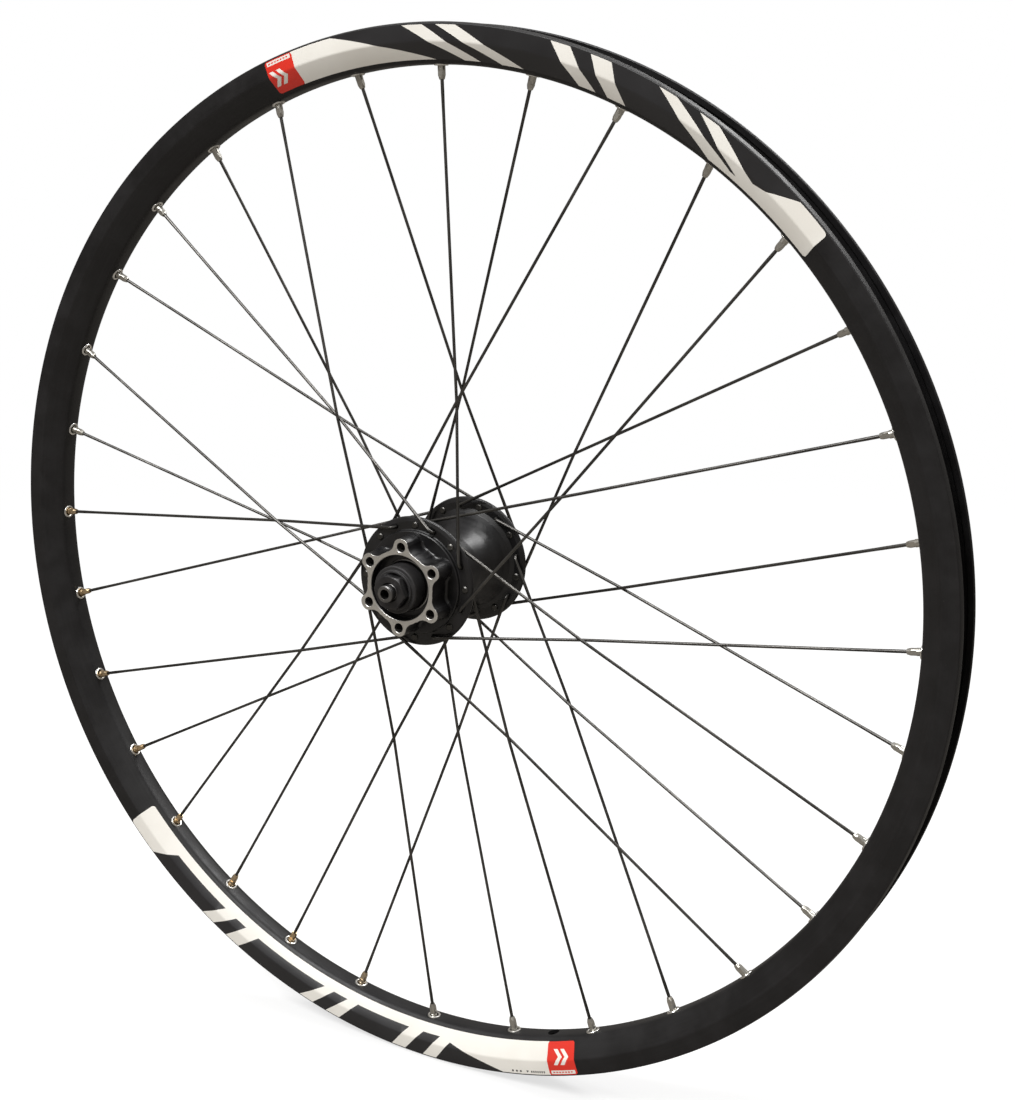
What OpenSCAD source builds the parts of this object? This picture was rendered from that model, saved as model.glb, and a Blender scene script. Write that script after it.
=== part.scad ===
// Spoked front wheel for a 26 inch mountain bicycle with a six-bolt disc hub.
// The wheel centre is the origin, the axle lies along Y and the brake-disc side faces -Y.

/* [Rim] */
// Radius of the rim at the outer corners of its two lips
rim_radius = 286.0; // [284:0.5:290]
// Width of the rim across its side walls
rim_width = 26.0; // [25:0.5:28]
// Radius of the seat that the tyre bead rests on
bead_seat_radius = 279.5; // [279:0.1:280]
// Radius of the spoke bed in the middle of the rim
spoke_bed_radius = 265.9; // [265:0.1:266.5]
// Angle of the valve hole, seen from the brake-disc side, counter-clockwise from +X
valve_angle = 286.875; // [286.875,298.125,253.125]
// Radius of the valve hole
valve_hole_radius = 3.25; // [3:0.05:3.4]

/* [Spokes] */
// Number of spokes, in groups of four
spoke_count = 32; // [32]
// Radius of the spoke wire at its ends
spoke_radius = 0.9; // [0.9:0.05:1]
// Radius of the drawn-down middle of the spoke
spoke_middle_radius = 0.8; // [0.75:0.05:0.85]
// Angle between a spoke's rim end and its hub hole, seen from the hub centre
lacing_angle = 67.5; // [67.5]
// Centre distance of two spokes where they weave past each other
weave_gap = 1.7; // [1.7:0.05:2.6]
// Bend radius of the spoke elbow
elbow_radius = 2.6; // [2.4:0.1:3]
// Sideways offset of the nipple holes from the middle of the rim
hole_stagger = 0.9; // [0.6:0.1:1.1]

/* [Hub shell] */
// Radius of the circle of spoke holes in each flange
spoke_circle_radius = 30.8; // [30:0.1:31]
// Radius of the flanges
flange_radius = 35.3; // [35:0.1:36]
// Thickness of the flanges at the spoke holes
flange_thickness = 3.2; // [3:0.1:3.4]
// Distance from the wheel centre plane to the disc-side flange
left_flange_offset = 22.6; // [22.4:0.1:22.8]
// Distance from the wheel centre plane to the plain-side flange
right_flange_offset = 34.4; // [34:0.1:34.8]
// Smallest radius of the hub barrel
barrel_radius = 18.6; // [18:0.1:20]
// Distance from the wheel centre plane to the face the brake disc bolts to
disc_face_offset = 39.5; // [39.5]
// Radius of the brake disc bolt circle
disc_bolt_circle_radius = 22.0; // [22]
// Radius of each brake disc bolt hole
disc_bolt_radius = 2.5; // [2.4:0.05:2.6]
// Angle of the first brake disc bolt hole
disc_bolt_phase = 88.3; // [60:0.1:120]

/* [Bearings and axle] */
// Radius of the hollow axle
axle_radius = 4.5; // [4.5]
// Radius of the bore for the quick-release skewer
axle_bore_radius = 2.65; // [2.55:0.05:2.8]
// Overall length of the axle
axle_length = 108; // [106:1:110]
// Distance between the two outer locknut faces
over_locknut_width = 100; // [100]
// Radius of each bearing ball
ball_radius = 2.381; // [2.381]
// Radius of the circle of ball centres
ball_circle_radius = 8.35; // [8.3:0.01:8.4]
// Number of balls on each side
ball_count = 10; // [9,10]

/* [Hidden] */
$fn = 64;

half_w = rim_width / 2;
pitch = 360 / spoke_count;
// where a nipple turns in its eyelet
pivot_radius = spoke_bed_radius + 1.2;
old = over_locknut_width / 2;
// planes of the ball centres, disc side then plain side
ball_z_left = 27.4;
ball_z_right = 34.6;
race = ball_radius + 0.08;

black = [0.06, 0.06, 0.065];
steel = [0.55, 0.55, 0.57];
dark_steel = [0.16, 0.16, 0.17];
nickel = [0.72, 0.68, 0.58];
rubber = [0.08, 0.08, 0.085];

// ---------- small helpers ----------

// points of an arc about c, from angle a0 to a1
function arc(c, r, a0, a1, n) =
    [for (i = [0:n]) let (a = a0 + (a1 - a0) * i / n) [c[0] + r * cos(a), c[1] + r * sin(a)]];

function polar(r, a) = [r * cos(a), r * sin(a)];
function cross2(a, b) = a[0] * b[1] - a[1] * b[0];

// The wheel is drawn about its own z axis with the disc side up, then laid so that the axle lies along Y.
module stand() rotate([90, 0, 0]) children();

// Puts children on a radius of the wheel at angle a, their z axis pointing outwards.
module on_radius(a, z = 0) rotate([0, 0, a]) translate([0, 0, z]) rotate([0, 90, 0]) children();

// Turned ring: profile points are [radius, distance from the wheel centre plane].
module turned(p) rotate_extrude($fn = 180) polygon(p);

// side of spoke hole k: even holes lean to the disc side
function side_of(k) = (k % 2 == 0) ? 1 : -1;
function hole_angle(k) = 90 + pitch * k;

// ---------- rim ----------

// Outer skin of half the section, from the middle of the spoke bed round to the middle of the tyre bed.
function rim_half() = concat(
    [[spoke_bed_radius, 0], [spoke_bed_radius + 0.05, 2.4], [spoke_bed_radius + 0.25, 3.9],
     [spoke_bed_radius + 0.7, 5.1], [spoke_bed_radius + 1.4, 5.8], [spoke_bed_radius + 2.2, 6.45],
     [276.4, half_w - 0.35], [277.1, half_w - 0.06], [277.7, half_w]],
    arc([rim_radius - 0.75, half_w - 0.75], 0.75, 90, 20, 4),
    [[rim_radius + 0.45, half_w - 1.9], [rim_radius + 0.62, half_w - 3.0]],
    arc([rim_radius - 0.15, half_w - 3.2], 0.75, 50, -75, 6),
    [[rim_radius - 2.6, half_w - 3.55], [rim_radius - 3.5, half_w - 2.2],
     [bead_seat_radius + 0.5, half_w - 1.95], [bead_seat_radius, half_w - 2.5],
     [bead_seat_radius - 0.1, half_w - 4.4], [bead_seat_radius - 0.6, half_w - 5.1],
     [276.9, half_w - 6.6], [276.4, half_w - 7.2], [276.3, 0]]);

// Closed box inside the rim between the spoke bed and the tyre bed.
function rim_hollow_half() = [
    [spoke_bed_radius + 1.9, 0], [spoke_bed_radius + 2.1, 3.4], [spoke_bed_radius + 2.7, 4.9],
    [spoke_bed_radius + 3.5, 5.6], [276.6, half_w - 2.1], [277.4, half_w - 1.7], [278.1, half_w - 1.75],
    [278.2, half_w - 4.3], [277.9, half_w - 5.0], [275.6, half_w - 6.9], [275.1, half_w - 7.8], [275.0, 0]];

function closed_section(h) = concat(h, [for (i = [len(h) - 2:-1:1]) [h[i][0], -h[i][1]]]);

module rim() color(black) stand() difference() {
    rotate_extrude($fn = 360) polygon(closed_section(rim_half()));
    rotate_extrude($fn = 360) polygon(closed_section(rim_hollow_half()));
    for (k = [0:spoke_count - 1]) on_radius(hole_angle(k), side_of(k) * hole_stagger) {
        // spot face, eyelet hole and nipple access hole
        translate([0, 0, spoke_bed_radius - 2]) cylinder(r = 3.9, h = 2.35);
        translate([0, 0, spoke_bed_radius - 2]) cylinder(r = 2.95, h = 6);
        translate([0, 0, 273]) cylinder(r = 4.3, h = 6);
    }
    on_radius(valve_angle) translate([0, 0, 262]) cylinder(r = valve_hole_radius, h = 20);
}

// Flared socket that lines a nipple hole, its lip showing under the spoke bed.
module eyelet() rotate_extrude() polygon([
    [2.45, -0.15], [2.7, -0.42], [3.15, -0.5], [3.6, -0.35], [3.82, 0.02], [3.82, 0.35],
    [2.95, 0.35], [2.95, 1.9], [3.7, 1.98], [3.7, 2.28], [2.45, 2.28]]);

module rim_eyelets() color(nickel) stand()
    for (k = [0:spoke_count - 1]) on_radius(hole_angle(k), side_of(k) * hole_stagger)
        translate([0, 0, spoke_bed_radius]) eyelet();

// ---------- spokes and nipples ----------

// Spokes with an even pair number lean back to their hub hole, the others lean forwards.
function leans_back(k) = (floor(k / 2) * 2 != k) ? (k % 4 == 1) : (k % 4 == 0);
function lean(k) = leans_back(k) ? -1 : 1;
function flange_z(k) = side_of(k) * (side_of(k) > 0 ? left_flange_offset : right_flange_offset);
function rim_point(k) = polar(pivot_radius, hole_angle(k));
function hub_point(k) = polar(spoke_circle_radius, hole_angle(k) + lean(k) * lacing_angle);
// share of the way from hub hole to rim at which spoke k weaves past its neighbour
function weave_share(k) = let (e = polar(1, hole_angle(k) + lean(k) * pitch),
    h = hub_point(k), n = rim_point(k)) cross2(h, e) / cross2(h - n, e);
// Outboard spokes lie on the outer face of their flange and pass inside at the weave.
function outward(k) = leans_back(k) ? 1 : -1;
function weave_z(k) = let (s = side_of(k), f = abs(flange_z(k)), t = weave_share(k))
    s * (f + (hole_stagger - f) * t - outward(k) * weave_gap / 2);
function weave_point(k) = let (h = hub_point(k), n = rim_point(k), t = weave_share(k))
    concat(h + (n - h) * t, [weave_z(k)]);
function pivot_point(k) = concat(rim_point(k), [side_of(k) * hole_stagger]);

function unit(v) = v / norm(v);

// Puts children at p with their z axis along d.
module along(p, d) translate(p)
    rotate([0, acos(d[2] / norm(d)), atan2(d[1], d[0])]) children();

module rod(a, b, r, extra = 0) along(a - unit(b - a) * extra, b - a) cylinder(r = r, h = norm(b - a) + 2 * extra);

// Wire from a full-gauge end at a to the drawn-down gauge at b.
module butted(a, b) along(a, b - a) rotate_extrude() polygon([
    [0, 0], [spoke_radius, 0], [spoke_radius, 14], [spoke_middle_radius, 24],
    [spoke_middle_radius, norm(b - a)], [0, norm(b - a)]]);

// One spoke: head, shank through the flange, elbow, and a wire with a slight bend at the weave.
module spoke(k) {
    s = side_of(k);
    out = outward(k);
    up = s * out;
    h = hub_point(k);
    w = weave_point(k);
    p = pivot_point(k);
    face = flange_z(k) + up * flange_thickness / 2;
    flat = [w[0] - h[0], w[1] - h[1]];
    lx = norm(flat);
    bx = (w[2] - face) * up;
    d = norm([lx - elbow_radius, bx]);
    turn = acos(-elbow_radius / d) - atan2(bx, lx - elbow_radius);
    heading = atan2(flat[1], flat[0]);
    // end of the elbow
    e = [h[0] + cos(heading) * elbow_radius * (1 - cos(turn)),
         h[1] + sin(heading) * elbow_radius * (1 - cos(turn)),
         face + up * elbow_radius * sin(turn)];
    stop = p - unit(p - w) * 1.0;
    translate([h[0], h[1], face]) rotate([0, 0, heading]) mirror([0, 0, up < 0 ? 1 : 0]) {
        translate([0, 0, -flange_thickness - 0.2]) cylinder(r = spoke_radius, h = flange_thickness + 0.3);
        translate([0, 0, -flange_thickness - 0.34]) cylinder(r1 = 1.95, r2 = 1.7, h = 0.3);
        translate([0, 0, -flange_thickness - 0.84]) cylinder(r1 = 1.35, r2 = 1.95, h = 0.5);
        translate([elbow_radius, 0, 0]) rotate([90, 0, 0]) mirror([1, 0, 0])
            rotate_extrude(angle = turn) translate([elbow_radius, 0]) circle(r = spoke_radius + 0.02);
    }
    butted(e - unit(w - e) * 0.1, w);
    along(w, unit(p - w) + unit(w - e)) rotate([0, 0, 37]) sphere(r = spoke_middle_radius + 0.03);
    butted(stop, w);
}

module spoke_group(r) for (k = [r:4:spoke_count - 1]) spoke(k);

module spokes_left_outboard() color(dark_steel) stand() spoke_group(0);
module spokes_left_inboard() color(dark_steel) stand() spoke_group(2);
module spokes_right_outboard() color(dark_steel) stand() spoke_group(1);
module spokes_right_inboard() color(dark_steel) stand() spoke_group(3);

// Nipple: slotted round head inside the rim, round shank, and a squared key grip.
module nipple() difference() {
    union() {
        intersection() {
            translate([0, 0, 3.7]) sphere(r = 3.1);
            translate([0, 0, 0.9]) cylinder(r = 3.0, h = 4.3);
        }
        translate([0, 0, -4]) cylinder(r = 2.0, h = 6);
        intersection() {
            translate([0, 0, -8.5]) cylinder(r1 = 1.38, r2 = 1.98, h = 2.1);
            translate([-1.62, -1.62, -9]) cube([3.24, 3.24, 6]);
        }
        intersection() {
            translate([0, 0, -6.4]) cylinder(r = 1.98, h = 2.6);
            translate([-1.62, -1.62, -9]) cube([3.24, 3.24, 6]);
        }
    }
    translate([0, 0, -9]) cylinder(r = spoke_radius + 0.06, h = 16);
    translate([-4, -0.6, 4.2]) cube([8, 1.2, 2]);
}

module nipple_set(r) for (k = [r:2:spoke_count - 1])
    along(pivot_point(k), pivot_point(k) - weave_point(k)) nipple();

module nipples_left() color(nickel) stand() nipple_set(0);
module nipples_right() color(nickel) stand() nipple_set(1);

// ---------- hub shell ----------

zl = left_flange_offset;
zr = -right_flange_offset;
ft = flange_thickness / 2;

// Flanges and barrel, with the bores for both bearings.
function shell_profile() = concat(
    // cavity side at the disc end
    [[16.6, 33.2], [16.6, 31.5], [19.6, 31.5], [19.6, zl + ft + 2.2],
     [27.6, zl + ft + 2.2], [28.1, zl + ft + 1.7], [28.1, zl + ft + 0.5], [28.6, zl + ft]],
    // disc-side flange
    [[flange_radius - 2.6, zl + ft], [flange_radius - 0.7, zl + ft - 0.55]],
    arc([flange_radius - 0.8, zl], 0.8, 60, -60, 6),
    [[flange_radius - 0.9, zl - ft + 0.55], [flange_radius - 2.6, zl - ft], [29.0, zl - ft]],
    // flare into the barrel and out again
    [[26.6, zl - ft - 0.7], [24.6, zl - ft - 2.1], [22.6, zl - ft - 4.6], [21.0, zl - ft - 8.0],
     [19.8, zl - ft - 12.5], [barrel_radius + 0.35, zl - ft - 18], [barrel_radius, -4],
     [barrel_radius + 0.3, -11], [19.9, -17], [21.2, -22], [22.8, -26], [24.6, -29.1],
     [26.6, zr + ft + 1.1], [29.0, zr + ft]],
    // plain-side flange
    [[flange_radius - 2.6, zr + ft], [flange_radius - 0.7, zr + ft - 0.55]],
    arc([flange_radius - 0.8, zr], 0.8, 60, -60, 6),
    [[flange_radius - 0.9, zr - ft + 0.55], [flange_radius - 2.6, zr - ft]],
    // end collar on the plain side
    [[20.5, zr - ft], [19.0, zr - ft - 0.5], [17.6, zr - ft - 2.2], [16.9, -41.6], [16.3, -42.2]],
    // bores, back towards the disc end
    [[14.1, -42.2], [13.6, -41.7], [13.6, -39.2], [12.0, -39.2], [12.0, -31.0], [11.2, -30.6],
     [11.2, 23.4], [12.0, 23.8], [12.0, 31.2], [14.2, 31.2], [14.2, 33.2]]);

// One round pocket between two disc bolts: it opens onto the step below, rounded into a slightly leaning wall.
module disc_pocket(r, lean, floor) rotate_extrude($fn = 96) polygon(concat(
    [[0, 25], [r - 1.9, 25]], arc([r - 1.9, floor + 1.9], 1.9, -90, 0, 6), [[r + lean, 41], [0, 41]]));

module disc_mount() difference() {
    union() {
        translate([0, 0, 26]) cylinder(r = 24.05, h = disc_face_offset - 24, $fn = 120);
        for (j = [0:5]) rotate([0, 0, disc_bolt_phase + 60 * j]) translate([disc_bolt_circle_radius, 0, 0]) {
            translate([0, 0, 25.9]) cylinder(r1 = 5.2, r2 = 4.6, h = 15);
            translate([0, 0, 25.8]) cylinder(r1 = 5.75, r2 = 4.7, h = 2.4);
        }
    }
    translate([0, 0, 33.0]) cylinder(r = 17.7, h = 8, $fn = 120);
    translate([0, 0, 38.9]) cylinder(r1 = 17.4, r2 = 18.4, h = 1, $fn = 120);
    translate([0, 0, 20]) cylinder(r = 15.5, h = 16, $fn = 120);
    for (j = [0:5]) rotate([0, 0, disc_bolt_phase + 30 + 60 * j]) {
        translate([34.3, 0, 0]) disc_pocket(13.85, 0.57, 26.15);
        // the ring between two bolts keeps nearly the same width right up to the bosses
        rotate([0, 0, 7.3]) translate([25.85, 0, 0]) disc_pocket(5.35, 0.42, 26.3);
        rotate([0, 0, -7.3]) translate([25.85, 0, 0]) disc_pocket(5.35, 0.42, 26.3);
    }
    // the face is machined flat in one cut
    translate([0, 0, disc_face_offset]) cylinder(r = 45, h = 5);
}

module hub_shell() color(black) stand() difference() {
    union() {
        turned(shell_profile());
        disc_mount();
    }
    for (j = [0:5]) rotate([0, 0, disc_bolt_phase + 60 * j]) translate([disc_bolt_circle_radius, 0, 0]) {
        translate([0, 0, disc_face_offset - 9.5]) cylinder(r = disc_bolt_radius, h = 10);
        translate([0, 0, disc_face_offset - 0.6]) cylinder(r1 = disc_bolt_radius - 0.3, r2 = disc_bolt_radius + 0.6, h = 0.9);
    }
    for (k = [0:spoke_count - 1]) translate([hub_point(k)[0], hub_point(k)[1], flange_z(k) - 3])
        cylinder(r = spoke_radius + 0.25, h = 6);
}

// ---------- bearings, one profile for both sides ----------
// u runs outboard from the plane of the ball centres

module side(left) mirror([0, 0, left ? 0 : 1]) children();

module cup(u0, left) color(steel) stand() side(left) translate([0, 0, u0]) rotate_extrude($fn = 120)
    polygon(concat(
        [[8.7, -3.4], [11.5, -3.4], [12.0, -2.9], [12.0, 3.3], [11.7, 3.6], [11.1, 3.6], [10.95, 3.4],
         [ball_circle_radius + race, 0.8]],
        arc([ball_circle_radius, 0], race, 0, -78, 10), [[8.7, -2.7]]));

module bearing_cup_left() cup(ball_z_left, true);
module bearing_cup_right() cup(ball_z_right, false);

module ball_set(u0, left) color(steel) stand() side(left) for (i = [0:ball_count - 1])
    rotate([0, 0, 360 / ball_count * i]) translate([ball_circle_radius, 0, u0]) sphere(r = ball_radius);

module ball_set_left() ball_set(ball_z_left, true);
module ball_set_right() ball_set(ball_z_right, false);

// Hollow axle; a narrow groove just inside each locknut face ends the plain seat for the fork.
module axle() color(steel) stand() difference() {
    rotate_extrude($fn = 96) polygon(concat(
        [for (q = half_axle) [q[0], -q[1]]],
        [for (i = [len(half_axle) - 1:-1:0]) half_axle[i]],
        [[1, axle_length / 2], [1, -axle_length / 2]]));
    translate([0, 0, -axle_length / 2 - 1]) cylinder(r = axle_bore_radius, h = axle_length + 2);
}
half_axle = [[axle_radius - 0.5, axle_length / 2], [axle_radius, axle_length / 2 - 0.5],
    [axle_radius, old + 0.1], [axle_radius - 0.3, old - 0.1], [axle_radius - 0.3, old - 0.7],
    [axle_radius, old - 0.9]];

// Cone: race, body, and two flats for a thin spanner; top is where the lock washer sits.
module cone(u0, top, left) color(steel) stand() side(left) difference() {
    union() {
        translate([0, 0, u0]) rotate_extrude($fn = 120) polygon(concat(
            [[axle_radius + 0.02, -1.9], [5.4, -1.9], [5.75, -1.5]],
            arc([ball_circle_radius, 0], race, 190, 102, 10),
            [[8.05, 2.75], [8.05, top - 4 - u0], [axle_radius + 0.02, top - 4 - u0]]));
        intersection() {
            translate([0, 0, top - 4]) difference() {
                cylinder(r = 7.9, h = 4, $fn = 120);
                translate([0, 0, -1]) cylinder(r = axle_radius + 0.02, h = 6);
            }
            translate([-9, -6.5, top - 5]) cube([18, 13, 6]);
        }
    }
}

module cone_left() cone(ball_z_left, 43.2, true);
module cone_right() cone(ball_z_right, 43.8, false);

// Washer that stops the cone turning with the locknut.
module lock_washer(z0, h, left) color(steel) stand() side(left) difference() {
    translate([0, 0, z0]) cylinder(r = 8.3, h = h);
    translate([0, 0, z0 - 1]) cylinder(r = axle_radius + 0.02, h = h + 2);
}

module lock_washer_left() lock_washer(43.2, 1.5, true);
module lock_washer_right() lock_washer(43.8, 1.2, false);

// Locknut: hexagon with its corners turned off at both faces.
module locknut(z0, left) color(dark_steel) stand() side(left) difference() {
    intersection() {
        rotate([0, 0, left ? 53 : 7]) translate([0, 0, z0]) cylinder(r = 9.815, h = old - z0, $fn = 6);
        translate([0, 0, z0]) rotate_extrude($fn = 96) polygon([
            [0, -0.3], [8.8, -0.3], [9.4, 0.3], [9.4, 1.05], [10.1, 1.7], [10.1, old - z0 - 1.0],
            [8.3, old - z0 + 0.1], [0, old - z0 + 0.1]]);
    }
    translate([0, 0, z0 - 1]) cylinder(r = axle_radius + 0.02, h = 20);
    translate([0, 0, old - 1]) cylinder(r1 = axle_radius - 0.2, r2 = axle_radius + 1.2, h = 1.4);
}

module locknut_left() locknut(44.7, true);
module locknut_right() locknut(45.0, false);

// ---------- seals ----------

// Thin cap pressed into the hub shell; its collar stands up round the cone.
module dust_cap_left() color(steel) stand() turned([
    [9.3, 31.3], [13.7, 31.3], [14.2, 31.7], [14.2, 33.0], [13.6, 33.2], [12.0, 32.3], [10.4, 32.3],
    [10.2, 32.6], [10.2, 36.4], [9.9, 36.7], [9.5, 36.7], [9.3, 36.4]]);

module dust_cap_right() color(steel) stand() side(false) turned([
    [9.3, 39.3], [13.1, 39.3], [13.6, 39.7], [13.6, 41.5], [13.3, 41.7], [12.9, 41.5], [12.4, 40.3],
    [10.4, 40.3], [10.2, 40.5], [10.2, 41.1], [9.3, 41.1]]);

// Rubber boot on the cone, its skirt covering the gap to the hub shell.
module cone_seal_left() color(rubber) stand() turned([
    [8.07, 38.6], [8.07, 37.4], [10.9, 37.4], [11.1, 37.2], [11.1, 34.0], [12.3, 34.0], [12.75, 34.5],
    [12.75, 43.6], [12.3, 44.2], [11.0, 44.2], [10.7, 44.4], [10.7, 45.3], [10.4, 45.6], [9.6, 45.6],
    [9.6, 42.6], [8.07, 42.6], [8.07, 39.2]]);

module cone_seal_right() color(rubber) stand() side(false) turned([
    [8.07, 41.5], [11.6, 41.5], [11.9, 41.9], [12.1, 42.6], [12.1, 44.2], [11.6, 44.6], [9.7, 44.6],
    [9.7, 43.6], [8.07, 43.4]]);

// ---------- assembly ----------

rim();
rim_eyelets();
nipples_left();
nipples_right();
spokes_left_outboard();
spokes_left_inboard();
spokes_right_outboard();
spokes_right_inboard();
hub_shell();
bearing_cup_left();
bearing_cup_right();
ball_set_left();
ball_set_right();
axle();
cone_left();
cone_right();
lock_washer_left();
lock_washer_right();
locknut_left();
locknut_right();
dust_cap_left();
dust_cap_right();
cone_seal_left();
cone_seal_right();
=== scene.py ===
import math
import random

import bmesh
import bpy
from mathutils import Matrix, Quaternion, Vector


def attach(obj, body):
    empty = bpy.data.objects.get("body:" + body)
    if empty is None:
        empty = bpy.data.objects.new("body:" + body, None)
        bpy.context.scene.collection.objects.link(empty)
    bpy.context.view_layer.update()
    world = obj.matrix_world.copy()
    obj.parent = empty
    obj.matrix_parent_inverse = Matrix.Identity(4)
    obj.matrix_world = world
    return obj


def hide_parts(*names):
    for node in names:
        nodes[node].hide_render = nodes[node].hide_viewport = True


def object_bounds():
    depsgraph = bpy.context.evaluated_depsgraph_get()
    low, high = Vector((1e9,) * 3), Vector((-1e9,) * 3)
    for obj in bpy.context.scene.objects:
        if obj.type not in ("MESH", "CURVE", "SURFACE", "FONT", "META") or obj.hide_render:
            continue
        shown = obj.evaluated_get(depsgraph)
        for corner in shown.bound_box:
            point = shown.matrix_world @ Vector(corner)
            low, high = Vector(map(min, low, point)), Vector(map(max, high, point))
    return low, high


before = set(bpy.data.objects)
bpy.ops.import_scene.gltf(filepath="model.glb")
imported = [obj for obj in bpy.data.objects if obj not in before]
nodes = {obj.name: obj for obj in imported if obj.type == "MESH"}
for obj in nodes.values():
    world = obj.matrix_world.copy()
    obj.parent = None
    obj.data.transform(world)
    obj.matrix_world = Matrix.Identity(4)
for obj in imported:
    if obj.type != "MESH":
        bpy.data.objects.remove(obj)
cad_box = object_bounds()
random.seed(7)

MM = 0.001


# ------------------------------------------------------------------ node helpers
class Mat:
    """A small wrapper that keeps node graphs short."""

    def __init__(self, name):
        self.m = bpy.data.materials.new(name)
        self.m.use_nodes = True
        self.t = self.m.node_tree
        self.t.nodes.clear()
        self.out = self.t.nodes.new("ShaderNodeOutputMaterial")
        self.p = self.t.nodes.new("ShaderNodeBsdfPrincipled")
        self.t.links.new(self.p.outputs[0], self.out.inputs[0])
        self._pos = None

    def n(self, kind, **props):
        x = self.t.nodes.new("ShaderNode" + kind)
        for k, v in props.items():
            setattr(x, k, v)
        return x

    def link(self, a, b):
        self.t.links.new(a, b)

    def put(self, socket, v):
        if hasattr(v, "is_output") or isinstance(v, bpy.types.NodeSocket):
            self.t.links.new(v, socket)
        else:
            socket.default_value = v

    @property
    def pos(self):
        if self._pos is None:
            self._pos = self.n("TexCoord").outputs["Object"]
        return self._pos

    def math(self, op, a, b=0.0, c=0.0, clamp=False):
        x = self.n("Math", operation=op, use_clamp=clamp)
        for i, v in enumerate((a, b, c)):
            if i < len(x.inputs):
                self.put(x.inputs[i], v)
        return x.outputs[0]

    def xyz(self, v=None):
        x = self.n("SeparateXYZ")
        self.link(v or self.pos, x.inputs[0])
        return x.outputs

    def comb(self, a, b, c):
        x = self.n("CombineXYZ")
        for i, v in enumerate((a, b, c)):
            self.put(x.inputs[i], v)
        return x.outputs[0]

    def noise(self, vec, scale, detail=3.0, rough=0.55, dist=0.0, w=None):
        x = self.n("TexNoise")
        self.link(vec, x.inputs["Vector"])
        x.inputs["Scale"].default_value = scale
        x.inputs["Detail"].default_value = detail
        x.inputs["Roughness"].default_value = rough
        x.inputs["Distortion"].default_value = dist
        return x.outputs["Fac"]

    def voronoi(self, vec, scale, feature="F1", out="Distance"):
        x = self.n("TexVoronoi", feature=feature)
        self.link(vec, x.inputs["Vector"])
        x.inputs["Scale"].default_value = scale
        return x.outputs[out]

    def ramp(self, fac, lo, hi, a=0.0, b=1.0):
        """Smooth step of fac from lo..hi to a..b."""
        x = self.n("MapRange", interpolation_type="SMOOTHSTEP")
        self.put(x.inputs["Value"], fac)
        x.inputs["From Min"].default_value = lo
        x.inputs["From Max"].default_value = hi
        x.inputs["To Min"].default_value = a
        x.inputs["To Max"].default_value = b
        return x.outputs[0]

    def mix(self, fac, a, b):
        x = self.n("Mix", data_type="RGBA")
        self.put(x.inputs[0], fac)
        for s, v in ((x.inputs[6], a), (x.inputs[7], b)):
            if isinstance(v, (tuple, list)):
                s.default_value = (*v[:3], 1.0)
            else:
                self.link(v, s)
        return x.outputs[2]

    def mixf(self, fac, a, b):
        x = self.n("Mix", data_type="FLOAT")
        self.put(x.inputs[0], fac)
        self.put(x.inputs[2], a)
        self.put(x.inputs[3], b)
        return x.outputs[0]

    def bump(self, height, strength=0.3, distance=0.0001, normal=None):
        x = self.n("Bump")
        self.put(x.inputs["Height"], height)
        x.inputs["Strength"].default_value = strength
        x.inputs["Distance"].default_value = distance
        if normal is not None:
            self.link(normal, x.inputs["Normal"])
        return x.outputs[0]

    def soft_edge(self, radius, samples=4):
        """Normal that rolls over sharp edges, as a deburred edge does."""
        x = self.n("Bevel", samples=samples)
        self.put(x.inputs["Radius"], radius)
        return x.outputs[0]

    def set(self, **kw):
        for k, v in kw.items():
            s = self.p.inputs[k.replace("_", " ")]
            if isinstance(v, (tuple, list)) and len(v) == 3 and s.type == "RGBA":
                v = (*v, 1.0)
            self.put(s, v)

    def polar(self):
        """(angle about the axle, radius, distance along the axle), in radians and metres."""
        x, y, z = self.xyz()
        r = self.math("SQRT", self.math("ADD", self.math("MULTIPLY", x, x), self.math("MULTIPLY", z, z)))
        a = self.math("ARCTAN2", z, x)
        return a, r, y

    def hoop_vec(self, along, across):
        """Texture space that is drawn out round the hoop: grain runs along the rim."""
        x, y, z = self.xyz()
        a, r, y = self.polar()
        # cos and sin keep the pattern whole where the angle wraps
        ca = self.math("MULTIPLY", self.math("COSINE", a), along)
        sa = self.math("MULTIPLY", self.math("SINE", a), along)
        ry = self.math("MULTIPLY", self.math("ADD", r, self.math("MULTIPLY", y, 0.73)), across)
        return self.comb(ca, sa, ry)


# ------------------------------------------------------------------ materials
def anodised(name, base, lift, rough, spec=0.35, hoop=True, edge=None):
    """Black anodising over fine blasted aluminium: tiny pits, faint draw lines, dust and rubbed patches."""
    m = Mat(name)
    pit = m.noise(m.pos, 2600, 2.0)
    cloud = m.noise(m.pos, 55, 4.0, 0.6)
    draw = m.noise(m.hoop_vec(9, 2600), 1.0, 3.0) if hoop else m.noise(m.pos, 700, 3.0)
    dust = m.ramp(m.noise(m.pos, 900, 5.0, 0.75), 0.62, 0.8)
    c = m.mix(m.ramp(cloud, 0.35, 0.7), base, tuple(v * 1.5 + 0.002 for v in base))
    c = m.mix(m.math("MULTIPLY", m.ramp(draw, 0.4, 0.75), 0.35), c, lift)
    c = m.mix(m.math("MULTIPLY", dust, 0.25), c, (0.11, 0.105, 0.10))
    r = m.mixf(m.ramp(cloud, 0.3, 0.75), rough - 0.05, rough + 0.08)
    r = m.math("ADD", r, m.math("MULTIPLY", dust, 0.12))
    h = m.math("ADD", m.math("MULTIPLY", pit, 0.7), m.math("MULTIPLY", draw, 0.5))
    m.set(Base_Color=c, Roughness=r, Specular_IOR_Level=spec, Normal=m.bump(h, 0.35, 0.00003))
    return m.m


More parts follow.
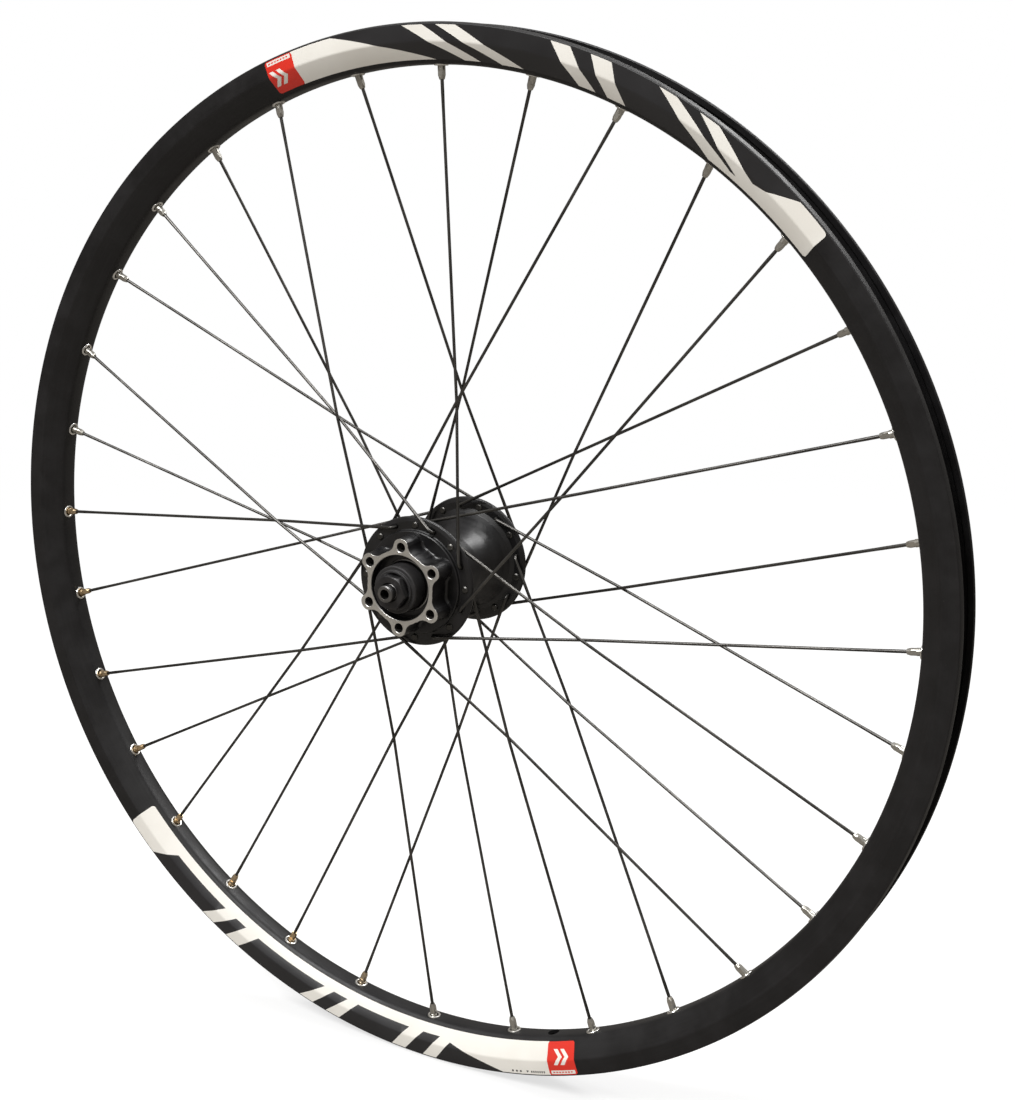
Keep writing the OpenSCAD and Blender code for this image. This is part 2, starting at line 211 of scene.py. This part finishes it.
def rim_black():
    return anodised("rim_anodised", (0.0042, 0.0038, 0.0042), (0.012, 0.0115, 0.012), 0.47, 0.36)


BARREL_MID, BARREL_HALF = 0.003, 0.0245


def hub_black():
    """Gloss black anodising, cut back to bare metal where the disc face and its chamfers are machined."""
    m = Mat("hub_anodised")
    a, r, y = m.polar()
    pit = m.noise(m.pos, 1800, 2.0)
    cloud = m.noise(m.pos, 70, 4.0)
    black = m.mix(m.ramp(cloud, 0.35, 0.7), (0.0028, 0.0027, 0.003), (0.006, 0.0056, 0.0064))
    scuff = m.ramp(m.noise(m.pos, 340, 6.0, 0.8), 0.70, 0.82)
    black = m.mix(m.math("MULTIPLY", scuff, 0.14), black, (0.09, 0.088, 0.085))
    # machined face: everything beyond this plane was cut after anodising
    edge = m.math("ADD", y, m.math("MULTIPLY", m.noise(m.pos, 1500, 2.0), 0.00004))
    bare = m.ramp(edge, -0.03925, -0.03915, 1.0, 0.0)
    rings = m.math("SINE", m.math("MULTIPLY", r, 2 * math.pi / 0.00022))
    ringn = m.noise(m.hoop_vec(14, 9000), 1.0, 2.0)
    metal = m.mix(m.ramp(ringn, 0.3, 0.7), (0.60, 0.592, 0.565), (0.77, 0.76, 0.73))
    # cut threads in the disc bolt holes, 0.8 mm pitch: bare cut metal left a little brighter than the anodising,
    # striped with painted shade in the thread roots and lighter crests
    da = m.math("WRAP", m.math("SUBTRACT", a, math.radians(88.3)), math.radians(30), math.radians(-30))
    du = m.math("SUBTRACT", m.math("MULTIPLY", r, m.math("COSINE", da)), 0.022)
    dv = m.math("MULTIPLY", r, m.math("SINE", da))
    far = m.math("SQRT", m.math("ADD", m.math("MULTIPLY", du, du), m.math("MULTIPLY", dv, dv)))
    cut = m.math("MULTIPLY", m.ramp(far, 0.00256, 0.00266, 1.0, 0.0), m.ramp(y, -0.0285, -0.029, 0.0, 1.0))
    thread = m.math("SINE", m.math("MULTIPLY", y, 2 * math.pi / 0.0008))
    black = m.mix(cut, black, m.mix(m.ramp(thread, -0.6, 0.8), (0.03, 0.029, 0.028), (0.26, 0.25, 0.235)))
    c = m.mix(bare, black, metal)
    rough = m.mixf(bare, m.mixf(m.ramp(cloud, 0.3, 0.8), 0.33, 0.42), m.mixf(ringn, 0.26, 0.42))
    h = m.mixf(bare, m.math("ADD", m.math("MULTIPLY", pit, 0.22), m.math("MULTIPLY", m.math("MULTIPLY", thread, cut), 4.0)),
               m.math("ADD", m.math("MULTIPLY", rings, 0.35), m.math("MULTIPLY", ringn, 0.8)))
    # the turned barrel between the flanges is one smooth sweep; elsewhere edges are just broken
    off = m.math("ABSOLUTE", m.math("SUBTRACT", y, BARREL_MID))
    barrel = m.math("MULTIPLY", m.ramp(off, BARREL_HALF - 0.001, BARREL_HALF, 1.0, 0.0), m.ramp(r, 0.0145, 0.015))
    m.set(Base_Color=c, Metallic=m.math("MAXIMUM", bare, m.math("MULTIPLY", cut, 0.8)), Roughness=rough, Specular_IOR_Level=0.5,
          Normal=m.bump(h, 0.3, 0.00004, m.soft_edge(m.mixf(barrel, 0.00028, 0.0016), 6)))
    return m.m


def spoke_steel():
    """Drawn stainless wire, dulled: fine lines along the wire and a slightly mottled tone."""
    m = Mat("spoke_wire")
    tone = m.noise(m.pos, 26, 3.0)
    fine = m.noise(m.pos, 1500, 3.0, 0.7)
    c = m.mix(m.ramp(tone, 0.35, 0.7), (0.06, 0.058, 0.055), (0.115, 0.111, 0.105))
    c = m.mix(m.math("MULTIPLY", m.ramp(fine, 0.45, 0.8), 0.14), c, (0.03, 0.029, 0.028))
    m.set(Base_Color=c, Metallic=1.0, Roughness=m.mixf(fine, 0.34, 0.44),
          Normal=m.bump(fine, 0.06, 0.00002))
    return m.m


def nipple_metal():
    """Plated brass, the plating thin: warm brass shows through in places, with dark soil in random patches."""
    m = Mat("nipple_plated_brass")
    big = m.noise(m.pos, 9, 2.0)
    small = m.noise(m.pos, 650, 5.0, 0.7)
    # the nipples round the lower left of the wheel are given more of the brass colour, set by their position on the
    # wheel
    x, y, z = m.xyz()
    low = m.ramp(m.math("ADD", m.math("MULTIPLY", x, 0.75), m.math("MULTIPLY", z, 0.66)), -0.14, -0.24, 0.0, 0.34)
    mixv = m.math("ADD", low, m.math("ADD", m.math("MULTIPLY", big, 0.6), m.math("MULTIPLY", small, 0.35)))
    c = m.mix(m.ramp(mixv, 0.5, 0.85), (0.45, 0.437, 0.40), (0.54, 0.40, 0.235))
    soil = m.ramp(m.noise(m.pos, 420, 4.0, 0.65), 0.58, 0.74)
    c = m.mix(m.math("MULTIPLY", soil, 0.6), c, (0.09, 0.075, 0.055))
    m.set(Base_Color=c, Metallic=0.95, Roughness=m.mixf(small, 0.2, 0.42),
          Normal=m.bump(small, 0.3, 0.00004))
    return m.m


def plated(name, a, b, rough, grain=900, metallic=1.0, turned=False):
    """Turned or stamped steel parts: tool marks round the axis, light staining."""
    m = Mat(name)
    big = m.noise(m.pos, 120, 4.0)
    fine = m.noise(m.pos, grain, 4.0, 0.7)
    c = m.mix(m.ramp(big, 0.3, 0.72), a, b)
    c = m.mix(m.math("MULTIPLY", m.ramp(fine, 0.56, 0.76), 0.35), c, tuple(v * 0.4 for v in a))
    h = fine
    if turned:
        rings = m.noise(m.hoop_vec(6, 14000), 1.0, 2.0)
        h = m.math("ADD", m.math("MULTIPLY", fine, 0.4), rings)
    m.set(Base_Color=c, Metallic=metallic, Roughness=m.mixf(fine, rough - 0.06, rough + 0.12),
          Normal=m.bump(h, 0.25, 0.00004, m.soft_edge(0.00018)))
    return m.m


def rubber():
    """Moulded nitrile: fine matt grain, a bloom of dust, faint mould rings."""
    m = Mat("seal_rubber")
    a, r, y = m.polar()
    g = m.noise(m.pos, 2200, 3.0, 0.7)
    dust = m.ramp(m.noise(m.pos, 260, 5.0, 0.7), 0.5, 0.8)
    rings = m.math("SINE", m.math("MULTIPLY", r, 2 * math.pi / 0.0007))
    c = m.mix(m.math("MULTIPLY", dust, 0.5), (0.018, 0.017, 0.0175), (0.05, 0.047, 0.046))
    m.set(Base_Color=c, Roughness=m.mixf(g, 0.48, 0.7), Specular_IOR_Level=0.4,
          Normal=m.bump(m.math("ADD", g, m.math("MULTIPLY", rings, 0.25)), 0.3, 0.00005))
    return m.m


def vinyl(name, base, tint, rough=0.32, spec=0.5):
    """Printed film: slight unevenness of the ink, soft orange-peel, specks of dirt, rubbed a little dull."""
    m = Mat(name)
    peel = m.noise(m.pos, 420, 2.0)
    tone = m.noise(m.pos, 28, 4.0)
    speck = m.ramp(m.noise(m.pos, 1300, 4.0, 0.8), 0.70, 0.8)
    c = m.mix(m.ramp(tone, 0.3, 0.75), base, tint)
    c = m.mix(m.math("MULTIPLY", speck, 0.35), c, tuple(v * 0.45 for v in base))
    r = m.math("ADD", m.mixf(tone, rough - 0.06, rough + 0.1), m.math("MULTIPLY", speck, 0.15))
    m.set(Base_Color=c, Roughness=r, Specular_IOR_Level=spec, Normal=m.bump(peel, 0.12, 0.00008))
    return m.m


M_RIM = rim_black()
M_HUB = hub_black()
M_SPOKE = spoke_steel()
M_NIPPLE = nipple_metal()
M_EYELET = plated("eyelet_plated", (0.62, 0.61, 0.58), (0.78, 0.77, 0.74), 0.26, 1400)
M_BEARING = plated("bearing_ground_steel", (0.42, 0.42, 0.42), (0.58, 0.58, 0.57), 0.22, 1500, turned=True)
M_BALL = plated("ball_polished_steel", (0.55, 0.55, 0.55), (0.66, 0.66, 0.66), 0.12, 500)
M_AXLE = plated("axle_dark_steel", (0.13, 0.13, 0.13), (0.20, 0.195, 0.19), 0.34, 1300, turned=True)
M_NUT = plated("locknut_black_oxide", (0.035, 0.034, 0.036), (0.065, 0.063, 0.064), 0.36, 1200, metallic=0.85, turned=True)
M_CAP = plated("dust_cap_steel", (0.22, 0.22, 0.22), (0.32, 0.32, 0.31), 0.3, 1300, turned=True)
M_RUBBER = rubber()
M_WHITE = vinyl("film_white", (0.82, 0.80, 0.75), (0.76, 0.735, 0.68))
M_INK = vinyl("film_black_ink", (0.0125, 0.012, 0.013), (0.018, 0.0175, 0.019), 0.34, 0.45)
M_RED = vinyl("film_red", (0.72, 0.03, 0.016), (0.62, 0.026, 0.014), 0.3)

LOOK = {
    "rim": M_RIM, "hub_shell": M_HUB, "rim_eyelets": M_EYELET,
    "nipples_left": M_NIPPLE, "nipples_right": M_NIPPLE,
    "spokes_left_outboard": M_SPOKE, "spokes_left_inboard": M_SPOKE,
    "spokes_right_outboard": M_SPOKE, "spokes_right_inboard": M_SPOKE,
    "bearing_cup_left": M_BEARING, "bearing_cup_right": M_BEARING,
    "ball_set_left": M_BALL, "ball_set_right": M_BALL,
    "axle": M_AXLE, "cone_left": M_BEARING, "cone_right": M_BEARING,
    "lock_washer_left": M_BEARING, "lock_washer_right": M_BEARING,
    "locknut_left": M_NUT, "locknut_right": M_NUT,
    "dust_cap_left": M_CAP, "dust_cap_right": M_CAP,
    "cone_seal_left": M_RUBBER, "cone_seal_right": M_RUBBER,
}
for name, o in nodes.items():
    o.data.materials.clear()
    o.data.materials.append(LOOK[name])


def add(name, bm, mat, body, smooth=None):
    """Turns a bmesh into a piece that rides on a body."""
    bmesh.ops.recalc_face_normals(bm, faces=bm.faces)
    me = bpy.data.meshes.new(name)
    bm.to_mesh(me)
    bm.free()
    me.materials.append(mat)
    if smooth is not None:
        me.shade_smooth()
        me.set_sharp_from_angle(angle=math.radians(smooth))
    o = bpy.data.objects.new(name, me)
    bpy.context.scene.collection.objects.link(o)
    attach(o, body)
    return o


# ------------------------------------------------------------------ rim section
R_OUT, HALF, BED, BEAD = 286.0, 13.0, 265.9, 279.5


def arc(cx, cy, r, a0, a1, n):
    return [(cx + r * math.cos(math.radians(a0 + (a1 - a0) * i / n)),
             cy + r * math.sin(math.radians(a0 + (a1 - a0) * i / n))) for i in range(n + 1)]


def point(theta, R, y):
    a = math.radians(theta)
    return Vector((R * math.cos(a) * MM, y * MM, R * math.sin(a) * MM))


# outer side of the section, from the rounded edge of the spoke bed to the lip
SIDE = [(268.1, 6.45), (276.4, 12.65), (277.1, 12.94), (277.7, 13.0), (285.25, 13.0)]


def side_len():
    s = [0.0]
    for a, b in zip(SIDE, SIDE[1:]):
        s.append(s[-1] + math.dist(a, b))
    return s


S = side_len()


def skin(s, lift):
    """Point (R, |y|) at distance s along the side of the rim, lifted off the metal."""
    i = 0
    while i < len(SIDE) - 2 and s > S[i + 1]:
        i += 1
    (r0, y0), (r1, y1) = SIDE[i], SIDE[i + 1]
    t = (s - S[i]) / (S[i + 1] - S[i])
    d = Vector((r1 - r0, y1 - y0)).normalized()
    nrm = Vector((-d.y, d.x))
    if nrm.y < 0:
        nrm = -nrm
    return r0 + (r1 - r0) * t + nrm.x * lift, y0 + (y1 - y0) * t + nrm.y * lift


def sheet(name, loops, side, lift, thick, mat):
    """A thin film laid on the side of the rim. loops are outlines in (angle in degrees, s in mm)."""
    bm = bmesh.new()
    for loop in loops:
        vs = [bm.verts.new((a, s, 0)) for a, s in loop]
        bm.faces.new(vs)
    lo = min(a for l in loops for a, _ in l)
    hi = max(a for l in loops for a, _ in l)
    cuts = [(Vector((k * 0.5, 0, 0)), Vector((1, 0, 0))) for k in range(math.ceil(lo * 2), math.floor(hi * 2) + 1)]
    cuts += [(Vector((0, s, 0)), Vector((0, 1, 0))) for s in S[1:-1]]
    for co, no in cuts:
        bmesh.ops.bisect_plane(bm, geom=bm.verts[:] + bm.edges[:] + bm.faces[:], dist=1e-5, plane_co=co, plane_no=no)
    bmesh.ops.triangulate(bm, faces=[f for f in bm.faces if len(f.verts) > 4])
    out = bmesh.ops.extrude_face_region(bm, geom=bm.faces[:])
    for v in out["geom"]:
        if isinstance(v, bmesh.types.BMVert):
            v.co.z = 1
    for v in bm.verts:
        a, s, top = v.co
        r, y = skin(s, lift if top > 0.5 else lift - thick)
        v.co = point(a, r, side * y)
    return add(name, bm, mat, "wheel", 30)


def rounded(a0, a1, s0, s1, ra, rs, n=5, corners=(1, 1, 1, 1)):
    """Rounded rectangle outline; ra and rs are the corner radius in degrees and mm."""
    pts = []
    for (cx, cy, st), on in zip(((a1 - ra, s1 - rs, 0), (a0 + ra, s1 - rs, 90), (a0 + ra, s0 + rs, 180), (a1 - ra, s0 + rs, 270)), corners):
        if not on:
            pts.append((a1 if st in (0, 270) else a0, s1 if st in (0, 90) else s0))
            continue
        for i in range(n + 1):
            t = math.radians(st + 90 * i / n)
            pts.append((cx + ra * math.cos(t), cy + rs * math.sin(t)))
    return pts


TOP = S[-1] - 0.15
BOT = 0.3


def shape(start, end, uv, low=BOT - 0.01, high=TOP + 0.01):
    """Outline from (share along the film, share across it)."""
    return [(start + (end - start) * u, low + (high - low) * v) for u, v in uv]


def dot(a, s0, r, n=14):
    """Round spot of radius r mm centred at angle a and distance s0."""
    k = 57.2958 / 280
    return [(a + r * k * math.cos(2 * math.pi * i / n), s0 + r * math.sin(2 * math.pi * i / n)) for i in range(n)]


def chevron(a, s0, s1, w, tip):
    """Arrow-like bar folded at the middle of the film."""
    m = (s0 + s1) / 2
    return [(a, s0), (a + w, s0), (a + w + tip, m), (a + w, s1), (a, s1), (a + tip, m)]


def film(tag, side, a0, a1, red_a0, red_a1, bars, marks, corners, small=()):
    sheet("film_base_" + tag, [rounded(a0, a1, BOT, TOP, 0.4, 1.8, corners=corners)], side, 0.055, 0.045, M_WHITE)
    sheet("film_bars_" + tag, bars + list(small), side, 0.075, 0.03, M_INK)
    sheet("film_red_" + tag, [rounded(red_a0, red_a1, BOT + 0.1, TOP, 0.3, 1.4)], side, 0.08, 0.03, M_RED)
    sheet("film_marks_" + tag, marks, side, 0.1, 0.03, M_WHITE)


# Printed pattern: plain angular shards, long bars, dots and chevrons, none of them a letter.
SHARDS_TOP = [
    [(0.080, 1.0), (0.215, 1.0), (0.322, 0.0), (0.268, 0.0)],
    [(0.252, 1.0), (0.276, 1.0), (0.392, 0.0), (0.352, 0.0)],
    [(0.312, 1.0), (0.478, 1.0), (0.535, 0.0), (0.432, 0.0)],
    [(0.512, 1.0), (0.548, 1.0), (0.588, 0.0), (0.566, 0.0)],
    [(0.584, 1.0), (0.668, 1.0), (0.785, 0.0), (0.622, 0.0)],
    [(0.700, 1.0), (0.742, 1.0), (0.838, 0.18), (0.826, 0.18)],
    [(0.778, 1.0), (0.940, 1.0), (0.892, 0.55), (0.868, 0.42)],
]
SHARDS_LOW = [
    [(0.072, 1.0), (0.112, 0.30), (0.255, 0.30), (0.222, 1.0)],
    [(0.252, 1.0), (0.285, 0.30), (0.312, 0.30), (0.285, 1.0)],
    [(0.318, 1.0), (0.345, 0.30), (0.512, 0.30), (0.470, 1.0)],
    [(0.500, 1.0), (0.534, 0.30), (0.566, 0.30), (0.530, 1.0)],
    [(0.560, 1.0), (0.590, 0.30), (0.705, 0.30), (0.676, 1.0)],
    [(0.704, 1.0), (0.736, 0.30), (0.772, 0.30), (0.741, 1.0)],
    [(0.768, 1.0), (0.795, 0.40), (0.905, 1.0)],
]

for side, tag in ((-1, "left"), (1, "right")):
    k = 57.2958 / 280
    # lower film, its red block at the far end
    low = [shape(221.5, 286.9, q) for q in SHARDS_LOW]
    icons = [dot(282.0 + i * 0.52, TOP - 1.5, 0.62) for i in range(3)]
    icons += [[(283.75, TOP - 2.1), (284.1, TOP - 2.1), (283.925, TOP - 0.9)]]
    icons += [[(284.4 + i * 0.27, TOP - 2.1), (284.55 + i * 0.27, TOP - 2.1), (284.55 + i * 0.27, TOP - 0.9), (284.4 + i * 0.27, TOP - 0.9)] for i in range(7)]
    marks = [chevron(287.6, 4.6, 13.4, 0.52, 0.66), chevron(288.48, 4.6, 13.4, 0.52, 0.66)]
    marks += [[(287.05, TOP - 2.6), (290.15, TOP - 2.6), (290.15, TOP - 0.5), (287.05, TOP - 0.5)]]
    film("low_" + tag, side, 221.5, 286.9, 286.8, 290.4, low, marks, (0, 1, 1, 0), icons)
    sheet("film_dashes_low_" + tag, [[(287.3 + i * 0.38, TOP - 1.9), (287.54 + i * 0.38, TOP - 1.9),
          (287.54 + i * 0.38, TOP - 1.2), (287.3 + i * 0.38, TOP - 1.2)] for i in range(7)], side, 0.118, 0.03, M_RED)
    # upper film, its red block at the near end
    high = [shape(107.3, 42.1, q) for q in SHARDS_TOP]
    marks = [chevron(109.78, 4.6, 13.4, -0.55, -0.7), chevron(110.73, 4.6, 13.4, -0.55, -0.7)]
    marks += [[(107.55, TOP - 2.6), (110.7, TOP - 2.6), (110.7, TOP - 0.5), (107.55, TOP - 0.5)]]
    film("top_" + tag, side, 42.1, 107.4, 107.3, 110.95, high, marks, (0, 1, 1, 0))
    sheet("film_dashes_top_" + tag, [[(107.85 + i * 0.4, TOP - 1.9), (108.11 + i * 0.4, TOP - 1.9),
          (108.11 + i * 0.4, TOP - 1.2), (107.85 + i * 0.4, TOP - 1.2)] for i in range(7)], side, 0.118, 0.03, M_RED)


# ------------------------------------------------------------------ rim hoop
def rim_hoop():
    """The rim drawn finely: same section and holes as the design, with truly round lips."""
    w = HALF
    half = [(BED, 0), (BED + 0.05, 2.4), (BED + 0.25, 3.9), (BED + 0.7, 5.1), (BED + 1.4, 5.8), (BED + 2.2, 6.45),
            (276.4, w - 0.35), (277.1, w - 0.06), (277.7, w)]
    half += arc(285.25, w - 0.75, 0.75, 90, 20, 8) + [(R_OUT + 0.45, w - 1.9), (R_OUT + 0.62, w - 3.0)]
    half += arc(R_OUT - 0.15, w - 3.2, 0.75, 50, -75, 8)
    half += [(283.4, w - 3.55), (282.5, w - 2.2), (280.0, w - 1.95), (BEAD, w - 2.5), (BEAD - 0.1, w - 4.4),
             (BEAD - 0.6, w - 5.1), (276.9, w - 6.6), (276.4, w - 7.2), (276.3, 0)]
    hollow = [(BED + 1.9, 0), (BED + 2.1, 3.4), (BED + 2.7, 4.9), (BED + 3.5, 5.6), (276.6, w - 2.1), (277.4, w - 1.7),
              (278.1, w - 1.75), (278.2, w - 4.3), (277.9, w - 5.0), (275.6, w - 6.9), (275.1, w - 7.8), (275.0, 0)]
    bm = bmesh.new()
    N = 720

    def revolve(points):
        ring = points + [(r, -y) for r, y in points[-2:0:-1]]
        rows = [[bm.verts.new(point(360 * i / N, r, y)) for r, y in ring] for i in range(N)]
        for i in range(N):
            a, b = rows[i], rows[(i + 1) % N]
            for j in range(len(ring)):
                k = (j + 1) % len(ring)
                bm.faces.new((a[j], a[k], b[k], b[j]))

    revolve(half)
    outer = bm.faces[:]
    bmesh.ops.recalc_face_normals(bm, faces=outer)
    count = len(outer)
    revolve(hollow)
    bm.faces.ensure_lookup_table()
    inner = bm.faces[count:]
    bmesh.ops.recalc_face_normals(bm, faces=inner)
    bmesh.ops.reverse_faces(bm, faces=inner)
    me = bpy.data.meshes.new("rim_hoop")
    bm.to_mesh(me)
    bm.free()
    o = bpy.data.objects.new("rim_hoop", me)
    bpy.context.scene.collection.objects.link(o)

    cb = bmesh.new()

    def pin(theta, y, steps):
        """Stepped round cutter pointing outwards from the axle: steps are (R, radius)."""
        a = math.radians(theta)
        out = Vector((math.cos(a), 0, math.sin(a)))
        u, v = Vector((0, 1, 0)), out.cross(Vector((0, 1, 0)))
        rings = []
        for R, r in steps:
            rings.append([cb.verts.new((out * R + Vector((0, y, 0)) + (u * math.cos(t) + v * math.sin(t)) * r) * MM)
                          for t in (2 * math.pi * i / 48 for i in range(48))])
        for p, q in zip(rings, rings[1:]):
            for i in range(48):
                cb.faces.new((p[i], p[(i + 1) % 48], q[(i + 1) % 48], q[i]))
        cb.faces.new(rings[0])
        cb.faces.new(rings[-1])

    for k in range(32):
        y = -0.9 if k % 2 == 0 else 0.9
        pin(90 + 11.25 * k, y, [(263.5, 3.9), (266.25, 3.9), (266.2501, 2.95), (270.5, 2.95)])
        pin(90 + 11.25 * k, y, [(272.5, 4.3), (279.0, 4.3)])
    pin(286.875, 0, [(263.5, 3.25), (281.0, 3.25)])
    bmesh.ops.recalc_face_normals(cb, faces=cb.faces)
    cm = bpy.data.meshes.new("cutter")
    cb.to_mesh(cm)
    cb.free()
    cutter = bpy.data.objects.new("cutter", cm)
    bpy.context.scene.collection.objects.link(cutter)
    mod = o.modifiers.new("holes", "BOOLEAN")
    mod.operation = "DIFFERENCE"
    mod.solver = "MANIFOLD"
    mod.object = cutter
    dg = bpy.context.evaluated_depsgraph_get()
    done = bpy.data.meshes.new_from_object(o.evaluated_get(dg))
    o.modifiers.clear()
    o.data = done
    bpy.data.objects.remove(cutter)
    done.name = "rim_hoop"
    done.materials.clear()
    done.materials.append(M_RIM)
    done.shade_smooth()
    done.set_sharp_from_angle(angle=math.radians(28))
    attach(o, "wheel")
    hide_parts("rim")
    return o


rim_hoop()

# ------------------------------------------------------------------ camera
F, AZ, EL, D, TX, TZ, CX, CY = 1761.583, 0.534833, 0.242554, 957.385, 8.703, 14.587, 454.427, 544.765
ROLL = Matrix.Rotation(-0.011, 3, "Y")  # the wheel stands a little turned on its axle
back = Vector((math.sin(AZ) * math.cos(EL), -math.cos(AZ) * math.cos(EL), math.sin(EL)))
right = Vector((math.cos(AZ), math.sin(AZ), 0))
back, right = ROLL @ back, ROLL @ right
up = back.cross(right)
cam_data = bpy.data.cameras.new("camera")
cam = bpy.data.objects.new("camera", cam_data)
bpy.context.scene.collection.objects.link(cam)
cam.location = (back * D + right * TX + up * TZ) * MM
cam.rotation_mode = "QUATERNION"
cam.rotation_quaternion = Matrix((right, up, back)).transposed().to_quaternion()
cam_data.sensor_width = 36
cam_data.lens = F * 36 / 1100
cam_data.shift_x = (1015 / 2 - CX) / 1100
cam_data.shift_y = (CY - 1100 / 2) / 1100
cam_data.clip_start = 0.01
cam_data.clip_end = 50
bpy.context.scene.camera = cam

# ------------------------------------------------------------------ stage
lo, hi = cad_box
# the floor reads as pale paper; towards the wheel it gives back only a little light, as black flags would
fm = Mat("stage_floor")
grain = fm.noise(fm.pos, 3.0, 3.0)
fm.set(Base_Color=fm.mix(grain, (0.90, 0.90, 0.90), (0.92, 0.92, 0.92)), Roughness=0.9, Specular_IOR_Level=0.0)
flag = fm.n("BsdfDiffuse")
flag.inputs[0].default_value = (0.22, 0.205, 0.185, 1)
paper = fm.n("Emission")
paper.inputs[0].default_value = (1, 1, 1, 1)
paper.inputs[1].default_value = 1.0
seen = fm.n("MixShader")
away = fm.n("VectorMath", operation="LENGTH")
fm.link(fm.pos, away.inputs[0])
fm.link(fm.ramp(away.outputs["Value"], 0.45, 1.9, 0.70, 1.0), seen.inputs[0])
fm.link(fm.p.outputs[0], seen.inputs[1])
fm.link(paper.outputs[0], seen.inputs[2])
pick = fm.n("MixShader")
fm.link(fm.n("LightPath").outputs["Is Camera Ray"], pick.inputs[0])
fm.link(flag.outputs[0], pick.inputs[1])
fm.link(seen.outputs[0], pick.inputs[2])
fm.link(pick.outputs[0], fm.out.inputs[0])
bm = bmesh.new()
bmesh.ops.create_grid(bm, x_segments=8, y_segments=8, size=6.0)
me = bpy.data.meshes.new("stage_floor")
bm.to_mesh(me)
bm.free()
me.materials.append(fm.m)
floor = bpy.data.objects.new("stage_floor", me)
floor.location = (0, 0, lo.z - 0.0002)
bpy.context.scene.collection.objects.link(floor)

world = bpy.data.worlds.new("studio")
bpy.context.scene.world = world
world.use_nodes = True
wt = world.node_tree
wt.nodes.clear()
wo = wt.nodes.new("ShaderNodeOutputWorld")
soft = wt.nodes.new("ShaderNodeBackground")
plain = wt.nodes.new("ShaderNodeBackground")
lp = wt.nodes.new("ShaderNodeLightPath")
mx = wt.nodes.new("ShaderNodeMixShader")
tc = wt.nodes.new("ShaderNodeTexCoord")
sep = wt.nodes.new("ShaderNodeSeparateXYZ")
mr = wt.nodes.new("ShaderNodeMapRange")
wt.links.new(tc.outputs["Generated"], sep.inputs[0])
wt.links.new(sep.outputs[2], mr.inputs["Value"])
mr.inputs["From Min"].default_value = -0.25
mr.inputs["From Max"].default_value = 0.9
mr.inputs["To Min"].default_value = 0.15
mr.inputs["To Max"].default_value = 0.58
wt.links.new(mr.outputs[0], soft.inputs[1])
# warm near the floor, neutral overhead
tint = wt.nodes.new("ShaderNodeMix")
tint.data_type = "RGBA"
wt.links.new(sep.outputs[2], tint.inputs[0])
tint.inputs[6].default_value = (1.0, 0.92, 0.82, 1)
tint.inputs[7].default_value = (1, 1, 1, 1)
wt.links.new(tint.outputs[2], soft.inputs[0])
plain.inputs[0].default_value = (1, 1, 1, 1)
plain.inputs[1].default_value = 1.0
wt.links.new(lp.outputs["Is Camera Ray"], mx.inputs[0])
wt.links.new(soft.outputs[0], mx.inputs[1])
wt.links.new(plain.outputs[0], mx.inputs[2])
wt.links.new(mx.outputs[0], wo.inputs[0])


def softbox(name, loc, target, size, power, colour=(1, 1, 1)):
    d = bpy.data.lights.new(name, "AREA")
    d.shape = "RECTANGLE"
    d.size, d.size_y = size
    d.energy = power
    d.color = colour
    o = bpy.data.objects.new(name, d)
    o.location = loc
    o.rotation_mode = "QUATERNION"
    o.rotation_quaternion = (Vector(target) - Vector(loc)).to_track_quat("-Z", "Y")
    bpy.context.scene.collection.objects.link(o)
    return o


softbox("softbox_key", (-0.35, -1.75, 2.15), (0, 0, 0), (1.3, 1.0), 86)
softbox("softbox_top", (0.15, 0.15, 1.75), (0, 0, 0), (0.55, 0.55), 6)
softbox("softbox_behind", (0.62, 0.97, 1.45), (0, 0, 0), (1.0, 0.55), 24)

bpy.context.scene.view_settings.view_transform = "Standard"
